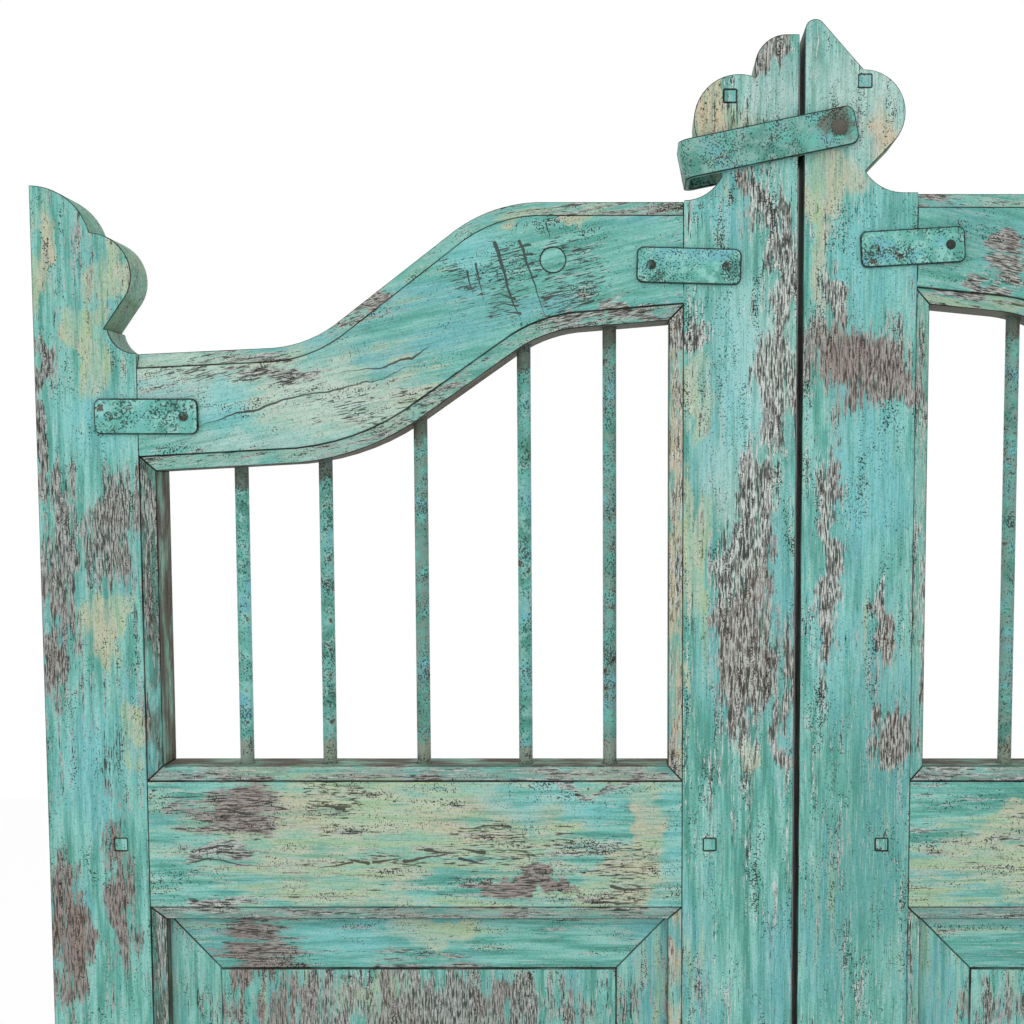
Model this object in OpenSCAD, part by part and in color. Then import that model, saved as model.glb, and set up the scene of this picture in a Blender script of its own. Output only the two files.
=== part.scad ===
// Pair of framed wooden gate doors with iron bars, S-curved top rails, sawn finials and a throw-over loop.
// Origin: on the floor line, midway between the leaves and midway through their thickness. The front is -Y.

/* [Leaf] */
// Width of one leaf
leaf_w = 680; // [600:5:800]
// Thickness of the stiles and rails
leaf_t = 44; // [38:1:54]
// Gap between the two leaves
meeting_gap = 5; // [4:0.5:8]
// Face width of the outer stile, without its moulding
outer_face_w = 91; // [86:1:110]
// Face width of the meeting stile, without its moulding
meeting_face_w = 101; // [96:1:115]

/* [Rails] */
// Face height of the bottom rail, without its moulding
bottom_face_h = 150; // [120:5:180]
// Height of the middle rail's face above the floor line
middle_z = 560; // [500:10:640]
// Face height of the middle rail, without its mouldings
middle_face_h = 117; // [100:1:140]
// Depth of the top rail at its ends
top_rail_h = 104; // [95:1:120]
// Height of the bar opening at the outer stile
bar_opening_h = 269; // [240:1:300]
// Rise of the left top rail from the outer to the meeting stile
left_rise = 134; // [122:1:147]
// Rise of the right top rail from the outer to the meeting stile
right_rise = 141; // [128:1:153]
// Extra rise of the right top rail's lower edge
right_lift = 7; // [0:0.5:10]

/* [Top rail curve] */
// Place of the upper edge's lower bend, from the meeting edge
upper_bend_u = 438; // [428:1:448]
// Steepest slope of the upper edge, in degrees
upper_slope = 37.5; // [34:0.5:42]
// Radius of the upper edge's lower bend
upper_foot_r = 110; // [90:1:130]
// Radius of the upper edge's upper bend
upper_crown_r = 133; // [100:1:150]
// Place of the lower edge's lower bend, from the meeting edge
lower_bend_u = 390; // [380:1:400]
// Steepest slope of the lower edge, in degrees
lower_slope = 35; // [32:0.5:40]
// Radius of the lower edge's lower bend
lower_foot_r = 230; // [180:5:260]
// Radius of the lower edge's upper bend
lower_crown_r = 120; // [90:1:140]
// Climb of the upper edge along its outer run
upper_climb = 7; // [3:0.5:10]
// Climb of the lower edge along its outer run
lower_climb = 10; // [5:0.5:13]
// Climb of the lower edge along its inner run
crown_climb = 9; // [4:0.5:11]

/* [Mouldings and joints] */
// Width of the moulding round the openings
moulding_w = 13; // [9:0.5:16]
// Depth of the moulding's bevel at the opening
bevel_d = 7; // [4:0.5:10]
// Depth of the quirk where the bevel starts
quirk_d = 1.5; // [0.8:0.1:2.5]
// Thickness of the tenons
tenon_t = 14; // [10:1:18]
// Length of the tenons
tenon_l = 50; // [36:1:60]
// Clearance of a joint's fit
fit = 0.25; // [0.15:0.05:0.4]
// Side of the square pegs
peg_w = 11; // [8:0.5:13]
// Diameter of the round plug in the left top rail
plug_d = 22; // [16:0.5:28]
// Place of the round plug, from the meeting edge
plug_u = 217; // [195:1:235]
// Depth of the round plug
plug_l = 14; // [8:0.5:20]

/* [Panel] */
// Thickness of the panel's tongue
tongue_t = 9; // [7:0.5:11]
// Depth of the panel groove
groove_d = 10; // [8:0.5:14]
// Width of the panel's sloping margin
margin_w = 48; // [35:1:60]
// Rise of the sloping margin
margin_rise = 5; // [3:0.5:6]
// Step from the margin up to the field
field_step = 2.5; // [1.5:0.5:4]

/* [Bars and straps] */
// Diameter of the bars
bar_d = 12.5; // [10:0.5:15]
// Depth of the bar sockets
socket_d = 25; // [15:1:35]
// Length of the straps over the top rail joints
strap_l = 93; // [80:1:110]
// Width of the straps
strap_w = 32; // [26:1:38]
// Thickness of the straps
strap_t = 3; // [2:0.5:4]
// Tilt of the left strap at the meeting stile, in degrees
left_strap_tilt = 1.5; // [0:0.1:5]
// Tilt of the right strap at the meeting stile, in degrees
right_strap_tilt = 3.3; // [0:0.1:5]
// Distance of the straps from their joint, towards the meeting edge
strap_shift = 4.5; // [0:0.5:9]
// Diameter of the nail heads
nail_head_d = 9; // [7:0.5:12]
// Diameter of the nail shanks
nail_d = 4; // [3:0.25:5]
// Length of the nails
nail_l = 28; // [20:1:34]

/* [Finials] */
// Height of the bulbs' centres above the top rail
bulb_z = 69; // [67:0.5:72]
// Radius of the outer finials' bulb
outer_bulb_r = 37; // [34:0.5:38]
// Radius of the left meeting finial's bulb
left_bulb_r = 40; // [37:0.5:42]
// Radius of the right meeting finial's bulb
right_bulb_r = 37; // [34:0.5:40]
// Radius of the cove under the outer finials' bulb
outer_cove_r = 25; // [22:0.5:28]
// Radius of the cove under the left meeting finial's bulb
left_cove_r = 37; // [34:0.5:40]
// Radius of the cove under the right meeting finial's bulb
right_cove_r = 40; // [37:0.5:42]
// Height of the outer finials' lobe centre above the top rail
outer_lobe_z = 93; // [89:1:97]
// Radius of the outer finials' lobe
outer_lobe_r = 54; // [50:1:58]
// Height of the left meeting finial's lobe centre above the top rail
left_lobe_z = 115; // [111:1:119]
// Radius of the left meeting finial's lobe
left_lobe_r = 28; // [26:0.5:30]
// Height of the right meeting finial's peak centre above the top rail
peak_z = 140; // [136:1:144]
// Radius of the right meeting finial's peak
peak_r = 9; // [7:0.5:11]
// Slope of the right meeting finial's peak, in degrees
peak_slope = 48; // [45:1:52]

/* [Throw-over loop] */
// Distance of the pivot from the meeting edge
pivot_u = 30; // [26:1:34]
// Height of the pivot above the right top rail
pivot_h = 55; // [50:1:60]
// Reach of the loop from the pivot to its outer end
loop_reach = 141; // [138:1:146]
// Room between the closed loop's outer end and the left finial's bulb
loop_room = 13.48; // [12:0.01:16]
// Width of the loop's strap
loop_w = 34; // [28:1:38]
// Thickness of the loop's strap
loop_t = 5; // [4:0.5:6]
// Dip of the closed loop, in degrees
loop_dip = 11.5; // [9:0.5:13]
// Running gap between the loop and the wood
loop_gap = 0.8; // [0.5:0.1:2]
// Diameter of the pivot bolt
bolt_d = 8; // [6:0.5:10]

/* [Hinges] */
// Height of the hinge plates
hinge_h = 90; // [75:5:110]
// Width of the hinge plates
hinge_w = 30; // [26:1:34]
// Thickness of the hinge plates
hinge_t = 2.5; // [2:0.25:3]
// Gap between the closed hinge plates
hinge_gap = 1; // [0.6:0.1:1.5]
// Radius of the knuckles
knuckle_r = 6; // [5:0.25:7]
// Radius of the hinge pins
pin_r = 3; // [2.5:0.25:3.5]
// Radius of the screw holes
screw_hole_r = 2.6; // [2:0.1:3]
// Distance between the two rows of screw holes along a post plate
post_pitch_z = 64; // [56:1:74]
// Distance between the two rows of screw holes along a leaf's plate
leaf_pitch_z = 38; // [26:1:46]
// Distance between the two screw holes across a plate
screw_pitch_y = 14; // [10:1:16]
// Length of the screws
screw_l = 24; // [16:1:30]

/* [Hidden] */
LEFT = 0;
RIGHT = 1;
over = 1;
smooth = 64;
arc_steps = 8;

front_y = -leaf_t / 2;
back_y = leaf_t / 2;
open_in_u = meeting_face_w + moulding_w;
open_out_u = leaf_w - outer_face_w - moulding_w;
flat_in_u = meeting_face_w;
flat_out_u = leaf_w - outer_face_w;
panel_low_z = bottom_face_h + moulding_w;
panel_top_z = middle_z - moulding_w;
middle_top_z = middle_z + middle_face_h;
bars_low_z = middle_top_z + moulding_w;
outer_low_z = bars_low_z + bar_opening_h;
outer_top_z = outer_low_z + top_rail_h;
rises = [left_rise, right_rise];
low_rises = [left_rise, right_rise + right_lift];

tenon_shoulder_share = 0.2;
tenon_shoulder = top_rail_h * tenon_shoulder_share;
tenon_end_gap = 1;
left_bar_shares = [0.158, 0.324, 0.512, 0.716, 0.884];
right_bar_shares = [0.157, 0.323, 0.49, 0.66, 0.83];
bar_shares = [left_bar_shares, right_bar_shares];
bar_count = len(left_bar_shares);

pin_run = 0.1;
knuckle_count = 5;
knuckle_gap = 0.3;
hinge_stand = 1;
pocket_d = 2 * hinge_t + hinge_gap;
pocket_back_gap = 0.4;
axis_u = leaf_w - hinge_t - hinge_gap / 2;
axis_y = back_y + hinge_stand + knuckle_r;
plate_front_y = back_y - hinge_w;
upper_hinge_z = outer_low_z - hinge_h;
lower_hinge_z = bottom_face_h - hinge_h / 2;
hinge_zs = [lower_hinge_z, upper_hinge_z];
countersink_share = 1.7;
countersink_r = screw_hole_r * countersink_share;
countersink_d = hinge_t / 2;
screw_r = screw_hole_r - fit;
pin_head_h = pin_r;

paint = "mediumturquoise";
worn_paint = "cadetblue";
iron = "darkslategray";

// A leaf is drawn with u = 0 at its meeting edge and u growing towards its hinges.
module right_leaf() translate([meeting_gap / 2, 0, 0]) children();
module left_leaf() mirror([1, 0, 0]) right_leaf() children();

// Stands an outline drawn in (u, z) up and gives it depth from y0 to y1.
module upright(y0, y1) translate([0, y1, 0]) rotate([90, 0, 0]) linear_extrude(y1 - y0) children();

// Runs a section drawn in (u, y) up from z0 to z1.
module rise(z0, z1) translate([0, 0, z0]) linear_extrude(z1 - z0) children();

// Runs a section drawn in (z, y) along u from u0 to u1.
module along(u0, u1) translate([u0, 0, 0]) rotate([90, 0, 90]) linear_extrude(u1 - u0)
    mirror([1, -1, 0]) children();

// A box given by its two corners.
module block(low, high) translate(low) cube(high - low);

// A bore or rod along y between y0 and y1.
module rod_y(u, z, r, y0, y1) translate([u, y1, z]) rotate([90, 0, 0])
    cylinder(r = r, h = y1 - y0, $fn = smooth);

// The bevel and quirk of a moulding, drawn as (distance in from the edge, depth).
bevel_slope = (bevel_d - quirk_d) / moulding_w;
module moulding_cut() polygon([
    [-over, front_y - over], [moulding_w, front_y - over], [moulding_w, front_y + quirk_d],
    [-over, front_y + bevel_d + over * bevel_slope]
]);

// An edge of a top rail: three straight runs from the outer stile up to the meeting stile.
function edge(first, bend, slope, crown_z, last) =
    [first, bend, [bend[0] - (crown_z - bend[1]) / tan(slope), crown_z], last];
function upper_edge(side) = edge(
    [flat_out_u, outer_top_z], [upper_bend_u, outer_top_z + upper_climb], upper_slope,
    outer_top_z + rises[side], [flat_in_u, outer_top_z + rises[side]]);
function lower_edge(side) = edge(
    [open_out_u, outer_low_z], [lower_bend_u, outer_low_z + lower_climb], lower_slope,
    outer_low_z + low_rises[side] - crown_climb, [open_in_u, outer_low_z + low_rises[side]]);
upper_rs = [0, upper_foot_r, upper_crown_r];
lower_rs = [0, lower_foot_r, lower_crown_r];

// The arc at bend k of an edge, as its centre and points spread evenly along it.
function unit(v) = v / norm(v);
function bend_half(edge, k) = acos(unit(edge[k - 1] - edge[k]) * unit(edge[k + 1] - edge[k])) / 2;
function bend_centre(edge, k, r) =
    edge[k] + unit(unit(edge[k - 1] - edge[k]) + unit(edge[k + 1] - edge[k])) * r / sin(bend_half(edge, k));
function bend_points(edge, k, r, steps) =
    let (
        centre = bend_centre(edge, k, r),
        away = edge[k] - centre,
        middle = atan2(away[1], away[0]),
        reach = (90 - bend_half(edge, k)) * (k == 1 ? -1 : 1)
    )
    [for (i = [0:steps - 1])
        let (a = middle + reach * ((2 * i + 1) / steps - 1)) centre + r * [cos(a), sin(a)]];

// An edge with its bends drawn as short runs.
function bent(edge, rs, steps) = concat(
    [edge[0]], bend_points(edge, 1, rs[1], steps), bend_points(edge, 2, rs[2], steps), [edge[3]]);

// Outline of a top rail without its tenons, mitred at its lower corners.
module top_rail_outline(side) {
    lower = bent(lower_edge(side), lower_rs, arc_steps);
    count = len(lower);
    polygon(concat(
        bent(upper_edge(side), upper_rs, arc_steps), [[flat_in_u, lower[count - 1][1] + moulding_w]],
        [for (k = [count - 1:-1:0]) lower[k]], [[flat_out_u, outer_low_z + moulding_w]]));
}

// The cut that moulds an edge, swept along it and past both its ends.
// The wood lies on the side given by inward, 1 above the edge or -1 below it.
module edge_moulding(edge, rs, inward) {
    past = moulding_w + over;
    first = edge[0] + past * unit(edge[0] - edge[1]);
    last = edge[3] + past * unit(edge[3] - edge[2]);
    path = bent([first, edge[1], edge[2], last], rs, arc_steps - 1);
    inner = shifted(path, inward * moulding_w);
    outer = shifted(path, -inward * over);
    count = len(path);
    section = 4;
    points = [for (k = [0:count - 1]) each [
        [outer[k][0], front_y - over, outer[k][1]], [inner[k][0], front_y - over, inner[k][1]],
        [inner[k][0], front_y + quirk_d, inner[k][1]],
        [outer[k][0], front_y + bevel_d + over * bevel_slope, outer[k][1]]
    ]];
    sides = [for (k = [0:count - 2], j = [0:section - 1])
        let (a = k * section, b = a + section, n = (j + 1) % section)
        each [[a + j, b + j, b + n], [a + j, b + n, a + n]]];
    ends = [[0, 1, 2], [0, 2, 3], [2, 1, 0] + tail(count, section), [3, 2, 0] + tail(count, section)];
    faces = concat(sides, ends);
    polyhedron(points, inward > 0 ? faces : [for (f = faces) [f[2], f[1], f[0]]]);
}
function tail(count, section) = [1, 1, 1] * (count - 1) * section;

// A path moved sideways by d, measured upwards from a level path.
function side_of(a, b) = let (run = unit(b - a)) [run[1], -run[0]];
function shifted(path, d) =
    let (last = len(path) - 1)
    [for (k = [0:last])
        let (
            before = side_of(path[max(k - 1, 0)], path[max(k, 1)]),
            after = side_of(path[min(k, last - 1)], path[min(k + 1, last)]),
            between = unit(before + after)
        )
        path[k] + between * d / (between * after)];

// Height of an edge at u, with its bends drawn as short runs.
function edge_z(edge, rs, u) =
    let (path = bent(edge, rs, arc_steps), count = len(path))
    lookup(u, [for (k = [count - 1:-1:0]) path[k]]);

// Heights of the tenons, low and high, of a rail's end.
function top_tenon(low_z) = [low_z + tenon_shoulder, low_z + top_rail_h - tenon_shoulder];
middle_tenon = [middle_z + tenon_shoulder, middle_top_z - tenon_shoulder];
bottom_tenon = [tenon_shoulder, bottom_face_h - tenon_shoulder];

// The tenon at the meeting end or the outer end, grown by room for its mortise.
module tenon_in(zs, room = 0, end_room = 0) block(
    [flat_in_u - tenon_l - end_room, -tenon_t / 2 - room, zs[0] - room],
    [flat_in_u + over, tenon_t / 2 + room, zs[1] + room]);
module tenon_out(zs, room = 0, end_room = 0) block(
    [flat_out_u - over, -tenon_t / 2 - room, zs[0] - room],
    [flat_out_u + tenon_l + end_room, tenon_t / 2 + room, zs[1] + room]);

// Square pegs through the joints, and plugs in the meeting finials.
peg_in_u = flat_in_u - tenon_l / 2;
peg_out_u = flat_out_u + tenon_l / 2;
finial_plug_shifts = [8.08, 1.01];
finial_plug_rises = [21, 27];
peg_zs = [bottom_face_h / 2, middle_z + middle_face_h / 2];
module peg(u, z, room = 0) block(
    [u - peg_w / 2 - room, front_y - (room > 0 ? over : 0), z - peg_w / 2 - room],
    [u + peg_w / 2 + room, back_y + (room > 0 ? over : 0), z + peg_w / 2 + room]);
module pegs_in(side, room = 0) {
    for (z = peg_zs) peg(peg_in_u, z, room);
    peg(bulb_ds[side] + finial_plug_shifts[side],
        outer_top_z + rises[side] + bulb_z + finial_plug_rises[side], room);
}
module pegs_out(room = 0) for (z = peg_zs) peg(peg_out_u, z, room);

// The round plug that fills an old hole in the left top rail, at mid depth.
plug_z = outer_top_z + left_rise - top_rail_h / 2;
module rail_plug(room = 0) color(worn_paint)
    rod_y(plug_u, plug_z, plug_d / 2 + room, front_y - (room > 0 ? over : 0), front_y + plug_l);

// Places of the straps: near the middle of each top rail joint, with the tilt there.
strap_drops = [5.5, -4];
strap_tilts = [left_strap_tilt, right_strap_tilt];
outer_strap_shift = 8.5;
outer_strap_drop = 4;
function strap_place_in(side) = [
    flat_in_u - strap_shift, outer_top_z + rises[side] - top_rail_h / 2 - strap_drops[side],
    strap_tilts[side]];
strap_place_out = [flat_out_u - outer_strap_shift, outer_top_z - top_rail_h / 2 - outer_strap_drop, 0];
nail_spread_share = 0.72;
module at_strap(place) translate([place[0], 0, place[1]]) rotate([0, -place[2], 0]) children();
module at_nails() for (s = [-1, 1]) translate([s * strap_l * nail_spread_share / 2, 0, 0]) children();
module nail_holes(place) at_strap(place) at_nails()
    rod_y(0, 0, nail_d / 2 + fit, front_y - strap_t - over, front_y + nail_l + fit);

// A finial above a stile of face width w, drawn with d = 0 at the stile's straight edge.
// Its lobe or peak is given as a child. Flat flanks end just inside the rounds that they meet.
OUTER = 2;
bulb_rs = [left_bulb_r, right_bulb_r, outer_bulb_r];
left_bulb_d = loop_reach - loop_t - loop_room - left_bulb_r - pivot_u;
right_bulb_share = 0.515;
outer_bulb_share = 0.564;
bulb_ds = [left_bulb_d, meeting_face_w * right_bulb_share, outer_face_w * outer_bulb_share];
flank_angles = [55, 46, 55];
cove_rs = [left_cove_r, right_cove_r, outer_cove_r];
cove_shares = [1, 0.87, 1];
neck_share = 0.85;
touch_share = 0.995;
lobe_share = 0.11;
module full_depth() upright(front_y, back_y) children();
module finial(w, kind) {
    bulb_r = bulb_rs[kind];
    bulb_d = bulb_ds[kind];
    flank = flank_angles[kind];
    cove_r = cove_rs[kind];
    cove_d = w * cove_shares[kind];
    touch = [bulb_d, bulb_z] + touch_share * bulb_r * [sin(flank), -cos(flank)];
    root_d = touch[0] - (touch[1] + over) / tan(flank);
    full_depth() difference() {
        translate([0, -over]) square([cove_d, cove_r * neck_share + over]);
        translate([cove_d, cove_r]) circle(r = cove_r, $fn = smooth);
    }
    full_depth() intersection() {
        translate([bulb_d, bulb_z]) circle(r = bulb_r, $fn = smooth);
        square([bulb_d + 2 * bulb_r, bulb_z + 2 * bulb_r]);
    }
    full_depth() polygon([[0, -over], [root_d, -over], touch, [bulb_d, bulb_z], [0, bulb_z]]);
    children();
}
module lobe(d, z, r) {
    full_depth() intersection() {
        translate([d, z]) circle(r = r, $fn = smooth);
        square([d + r, z + r]);
    }
    full_depth() square([d + r / 2, z]);
    if (d > 0) full_depth() square([d, z + r]);
}
module peak() {
    touch = [peak_r, peak_z] + touch_share * peak_r * [sin(peak_slope), cos(peak_slope)];
    full_depth() translate([peak_r, peak_z]) circle(r = peak_r, $fn = smooth);
    full_depth() polygon([
        [0, over], [0, peak_z], [peak_r, peak_z], touch,
        [touch[0] + (touch[1] - bulb_z) / tan(peak_slope), bulb_z], [peak_r, over]
    ]);
}

// Outline of a stile with its strips of moulding, mitred where the rails meet them.
module stile_outline(far_u, flat_u, open_u, low_z, top_z) polygon([
    [far_u, 0], [flat_u, 0],
    [flat_u, panel_low_z - moulding_w], [open_u, panel_low_z],
    [open_u, panel_top_z], [flat_u, panel_top_z + moulding_w],
    [flat_u, bars_low_z - moulding_w], [open_u, bars_low_z],
    [open_u, low_z], [flat_u, low_z + moulding_w],
    [flat_u, top_z], [far_u, top_z]
]);

// The groove that holds the panel's tongue, round the panel opening.
module panel_groove() {
    groove_t = tongue_t + 2 * fit;
    block([open_in_u - groove_d, -groove_t / 2, panel_low_z - groove_d],
        [open_out_u + groove_d, groove_t / 2, panel_top_z + groove_d]);
}

// Bars: their places, their upper seats and their sockets.
function bar_u(side, i) = open_out_u + (open_in_u - open_out_u) * bar_shares[side][i];
function bar_top_z(side, i) = edge_z(lower_edge(side), lower_rs, bar_u(side, i)) + socket_d;
module bar_sockets(side) for (i = [0:bar_count - 1]) translate([bar_u(side, i), 0, bars_low_z - socket_d])
    cylinder(r = bar_d / 2 + fit, h = bar_top_z(side, i) - bars_low_z + socket_d + fit, $fn = smooth);

// Wood
module outer_stile() color(paint) difference() {
    union() {
        full_depth() stile_outline(leaf_w, flat_out_u, open_out_u, outer_low_z, outer_top_z);
        translate([leaf_w, 0, outer_top_z]) mirror([1, 0, 0]) finial(outer_face_w, OUTER)
            lobe(0, outer_lobe_z, outer_lobe_r);
    }
    rise(-over, outer_low_z + moulding_w + over) translate([open_out_u, 0]) moulding_cut();
    tenon_out(bottom_tenon, fit, tenon_end_gap);
    tenon_out(middle_tenon, fit, tenon_end_gap);
    tenon_out(top_tenon(outer_low_z), fit, tenon_end_gap);
    panel_groove();
    pegs_out(fit);
    nail_holes(strap_place_out);
    hinge_pockets();
}

module meeting_stile(side) color(paint) difference() {
    top_z = outer_top_z + rises[side];
    low_z = outer_low_z + low_rises[side];
    union() {
        full_depth() stile_outline(0, flat_in_u, open_in_u, low_z, top_z);
        translate([0, 0, top_z]) finial(meeting_face_w, side) {
            if (side == LEFT) lobe(meeting_face_w * lobe_share, left_lobe_z, left_lobe_r);
            else peak();
        }
    }
    rise(-over, low_z + moulding_w + over) translate([open_in_u, 0]) mirror([1, 0]) moulding_cut();
    tenon_in(bottom_tenon, fit, tenon_end_gap);
    tenon_in(middle_tenon, fit, tenon_end_gap);
    tenon_in(top_tenon(low_z), fit, tenon_end_gap);
    panel_groove();
    pegs_in(side, fit);
    nail_holes(strap_place_in(side));
    if (side == RIGHT)
        rod_y(pivot_u, pivot_z, bolt_d / 2 + fit, front_y - over, back_y + over);
}

module top_rail(side) color(paint) difference() {
    union() {
        difference() {
            full_depth() top_rail_outline(side);
            edge_moulding(upper_edge(side), upper_rs, -1);
            edge_moulding(lower_edge(side), lower_rs, 1);
        }
        tenon_in(top_tenon(outer_low_z + low_rises[side]));
        tenon_out(top_tenon(outer_low_z));
    }
    bar_sockets(side);
    nail_holes(strap_place_in(side));
    nail_holes(strap_place_out);
    if (side == LEFT) rail_plug(fit);
}

module middle_rail(side) color(paint) difference() {
    union() {
        full_depth() polygon([
            [flat_in_u, middle_z], [open_in_u, panel_top_z],
            [open_out_u, panel_top_z], [flat_out_u, middle_z],
            [flat_out_u, middle_top_z], [open_out_u, bars_low_z],
            [open_in_u, bars_low_z], [flat_in_u, middle_top_z]
        ]);
        tenon_in(middle_tenon);
        tenon_out(middle_tenon);
    }
    along(flat_in_u - over, flat_out_u + over) translate([panel_top_z, 0]) moulding_cut();
    along(flat_in_u - over, flat_out_u + over) translate([bars_low_z, 0]) mirror([1, 0]) moulding_cut();
    panel_groove();
    pegs_in(side, fit);
    pegs_out(fit);
    bar_sockets(side);
}

module bottom_rail(side) color(paint) difference() {
    union() {
        full_depth() polygon([
            [flat_in_u, 0], [flat_out_u, 0], [flat_out_u, bottom_face_h], [open_out_u, panel_low_z],
            [open_in_u, panel_low_z], [flat_in_u, bottom_face_h]
        ]);
        tenon_in(bottom_tenon);
        tenon_out(bottom_tenon);
    }
    along(flat_in_u - over, flat_out_u + over) translate([panel_low_z, 0]) mirror([1, 0]) moulding_cut();
    panel_groove();
    pegs_in(side, fit);
    pegs_out(fit);
}

// Section of the panel across an opening from low to high: tongue, sloping margin, step and field.
panel_end_gap = 1;
module panel_section(low, high) {
    tongue_y = -tongue_t / 2;
    margin_y = tongue_y - margin_rise;
    field_y = margin_y - field_step;
    edge = groove_d - panel_end_gap;
    polygon([
        [low - edge, -tongue_y], [low - edge, tongue_y], [low, tongue_y], [low + margin_w, margin_y],
        [low + margin_w, field_y], [high - margin_w, field_y], [high - margin_w, margin_y],
        [high, tongue_y], [high + edge, tongue_y], [high + edge, -tongue_y]
    ]);
}
module panel() color(paint) intersection() {
    rise(panel_low_z - groove_d, panel_top_z + groove_d) panel_section(open_in_u, open_out_u);
    along(open_in_u - groove_d, open_out_u + groove_d) panel_section(panel_low_z, panel_top_z);
}

module pegs(side) color(worn_paint) {
    pegs_in(side);
    pegs_out();
}

// Iron
module bar(side, i) color(worn_paint) translate([bar_u(side, i), 0, bars_low_z - socket_d])
    cylinder(r = bar_d / 2, h = bar_top_z(side, i) - bars_low_z + socket_d, $fn = smooth);

strap_corner_share = 0.2;
module strap_outline() {
    r = strap_w * strap_corner_share;
    square([strap_l - 2 * r, strap_w], center = true);
    square([strap_l, strap_w - 2 * r], center = true);
    for (x = [-1, 1], z = [-1, 1])
        translate([x * (strap_l / 2 - r), z * (strap_w / 2 - r)]) circle(r = r, $fn = smooth);
}
module strap(place) color(worn_paint) difference() {
    at_strap(place) upright(front_y - strap_t, front_y) strap_outline();
    nail_holes(place);
}

// A nail with a low domed head, its shank running back from the strap's face.
head_rise_share = 0.5;
module nail() {
    head_r = nail_head_d / 2;
    head_h = head_r * head_rise_share;
    dome_r = (head_r * head_r + head_h * head_h) / (2 * head_h);
    translate([0, front_y - strap_t, 0]) rotate([90, 0, 0]) intersection() {
        translate([0, 0, head_h - dome_r]) sphere(r = dome_r, $fn = smooth);
        cylinder(r = head_r, h = head_h + over, $fn = smooth);
    }
    rod_y(0, 0, nail_d / 2, front_y - strap_t, front_y + nail_l);
}
module strap_nails(side) color(iron) for (place = [strap_place_in(side), strap_place_out])
    at_strap(place) at_nails() nail();

// Hinges
module hinge_pockets() for (z = hinge_zs) {
    block([leaf_w - pocket_d, plate_front_y - pocket_back_gap, z - fit],
        [leaf_w + over, back_y + over, z + hinge_h + fit]);
    at_screws(z, leaf_pitch_z) screw(fit);
}

// The four screw places of a plate. The two plates of a hinge are staggered, so the heads miss each other.
module at_screws(z, pitch_z) for (y = [-1, 1], k = [-1, 1])
    translate([leaf_w - pocket_d, (plate_front_y + back_y) / 2 + y * screw_pitch_y / 2,
        z + hinge_h / 2 + k * pitch_z / 2]) children();

// A countersunk screw driven inward along -u from the plate's face.
module screw(room = 0) rotate([0, 90, 0]) {
    translate([0, 0, -screw_l]) cylinder(r = screw_r + room, h = screw_l + hinge_t, $fn = smooth);
    translate([0, 0, hinge_t - countersink_d])
        cylinder(r1 = screw_r, r2 = countersink_r - fit, h = countersink_d, $fn = smooth);
}

// One half of a butt hinge: a plate from u0, its own knuckles from the first on, and its bores.
// Its screw heads sink into its inner face, at head_u.
knuckle_h = hinge_h / knuckle_count;
module hinge_half(z, u0, first, head_u, into, pitch_z) color(iron) difference() {
    u1 = u0 + hinge_t;
    union() {
        block([u0, plate_front_y, z], [u1, back_y + hinge_stand / 2, z + hinge_h]);
        for (k = [first:2:knuckle_count - 1]) {
            low = z + k * knuckle_h + (k > 0 ? knuckle_gap / 2 : 0);
            high = z + (k + 1) * knuckle_h - (k < knuckle_count - 1 ? knuckle_gap / 2 : 0);
            block([u0, back_y, low], [u1, axis_y, high]);
            translate([axis_u, axis_y, low]) cylinder(r = knuckle_r, h = high - low, $fn = smooth);
        }
    }
    translate([axis_u, axis_y, z - over])
        cylinder(r = pin_r + pin_run, h = hinge_h + 2 * over, $fn = smooth);
    at_screws(z, pitch_z) translate([head_u - leaf_w + pocket_d, 0, 0]) rotate([0, into * 90, 0]) {
        translate([0, 0, -hinge_t - over]) cylinder(r = screw_hole_r, h = hinge_t + 2 * over, $fn = smooth);
        translate([0, 0, -countersink_d])
            cylinder(r1 = screw_hole_r, r2 = countersink_r, h = countersink_d, $fn = smooth);
        cylinder(r = countersink_r, h = hinge_gap / 2, $fn = smooth);
    }
}
module hinge_plate(z) hinge_half(z, leaf_w - pocket_d, 1, leaf_w - pocket_d + hinge_t, 1, leaf_pitch_z);
module post_plate(z) hinge_half(z, leaf_w - hinge_t, 0, leaf_w - hinge_t, -1, post_pitch_z);

// A hinge pin with a low button head that rests on the top knuckle.
module hinge_pin(z) color(iron) translate([axis_u, axis_y, z]) {
    cylinder(r = pin_r, h = hinge_h, $fn = smooth);
    translate([0, 0, hinge_h]) cylinder(r1 = knuckle_r - over, r2 = pin_r, h = pin_head_h, $fn = smooth);
}
module hinge_screws() color(iron) for (z = hinge_zs) at_screws(z, leaf_pitch_z) screw();

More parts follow.
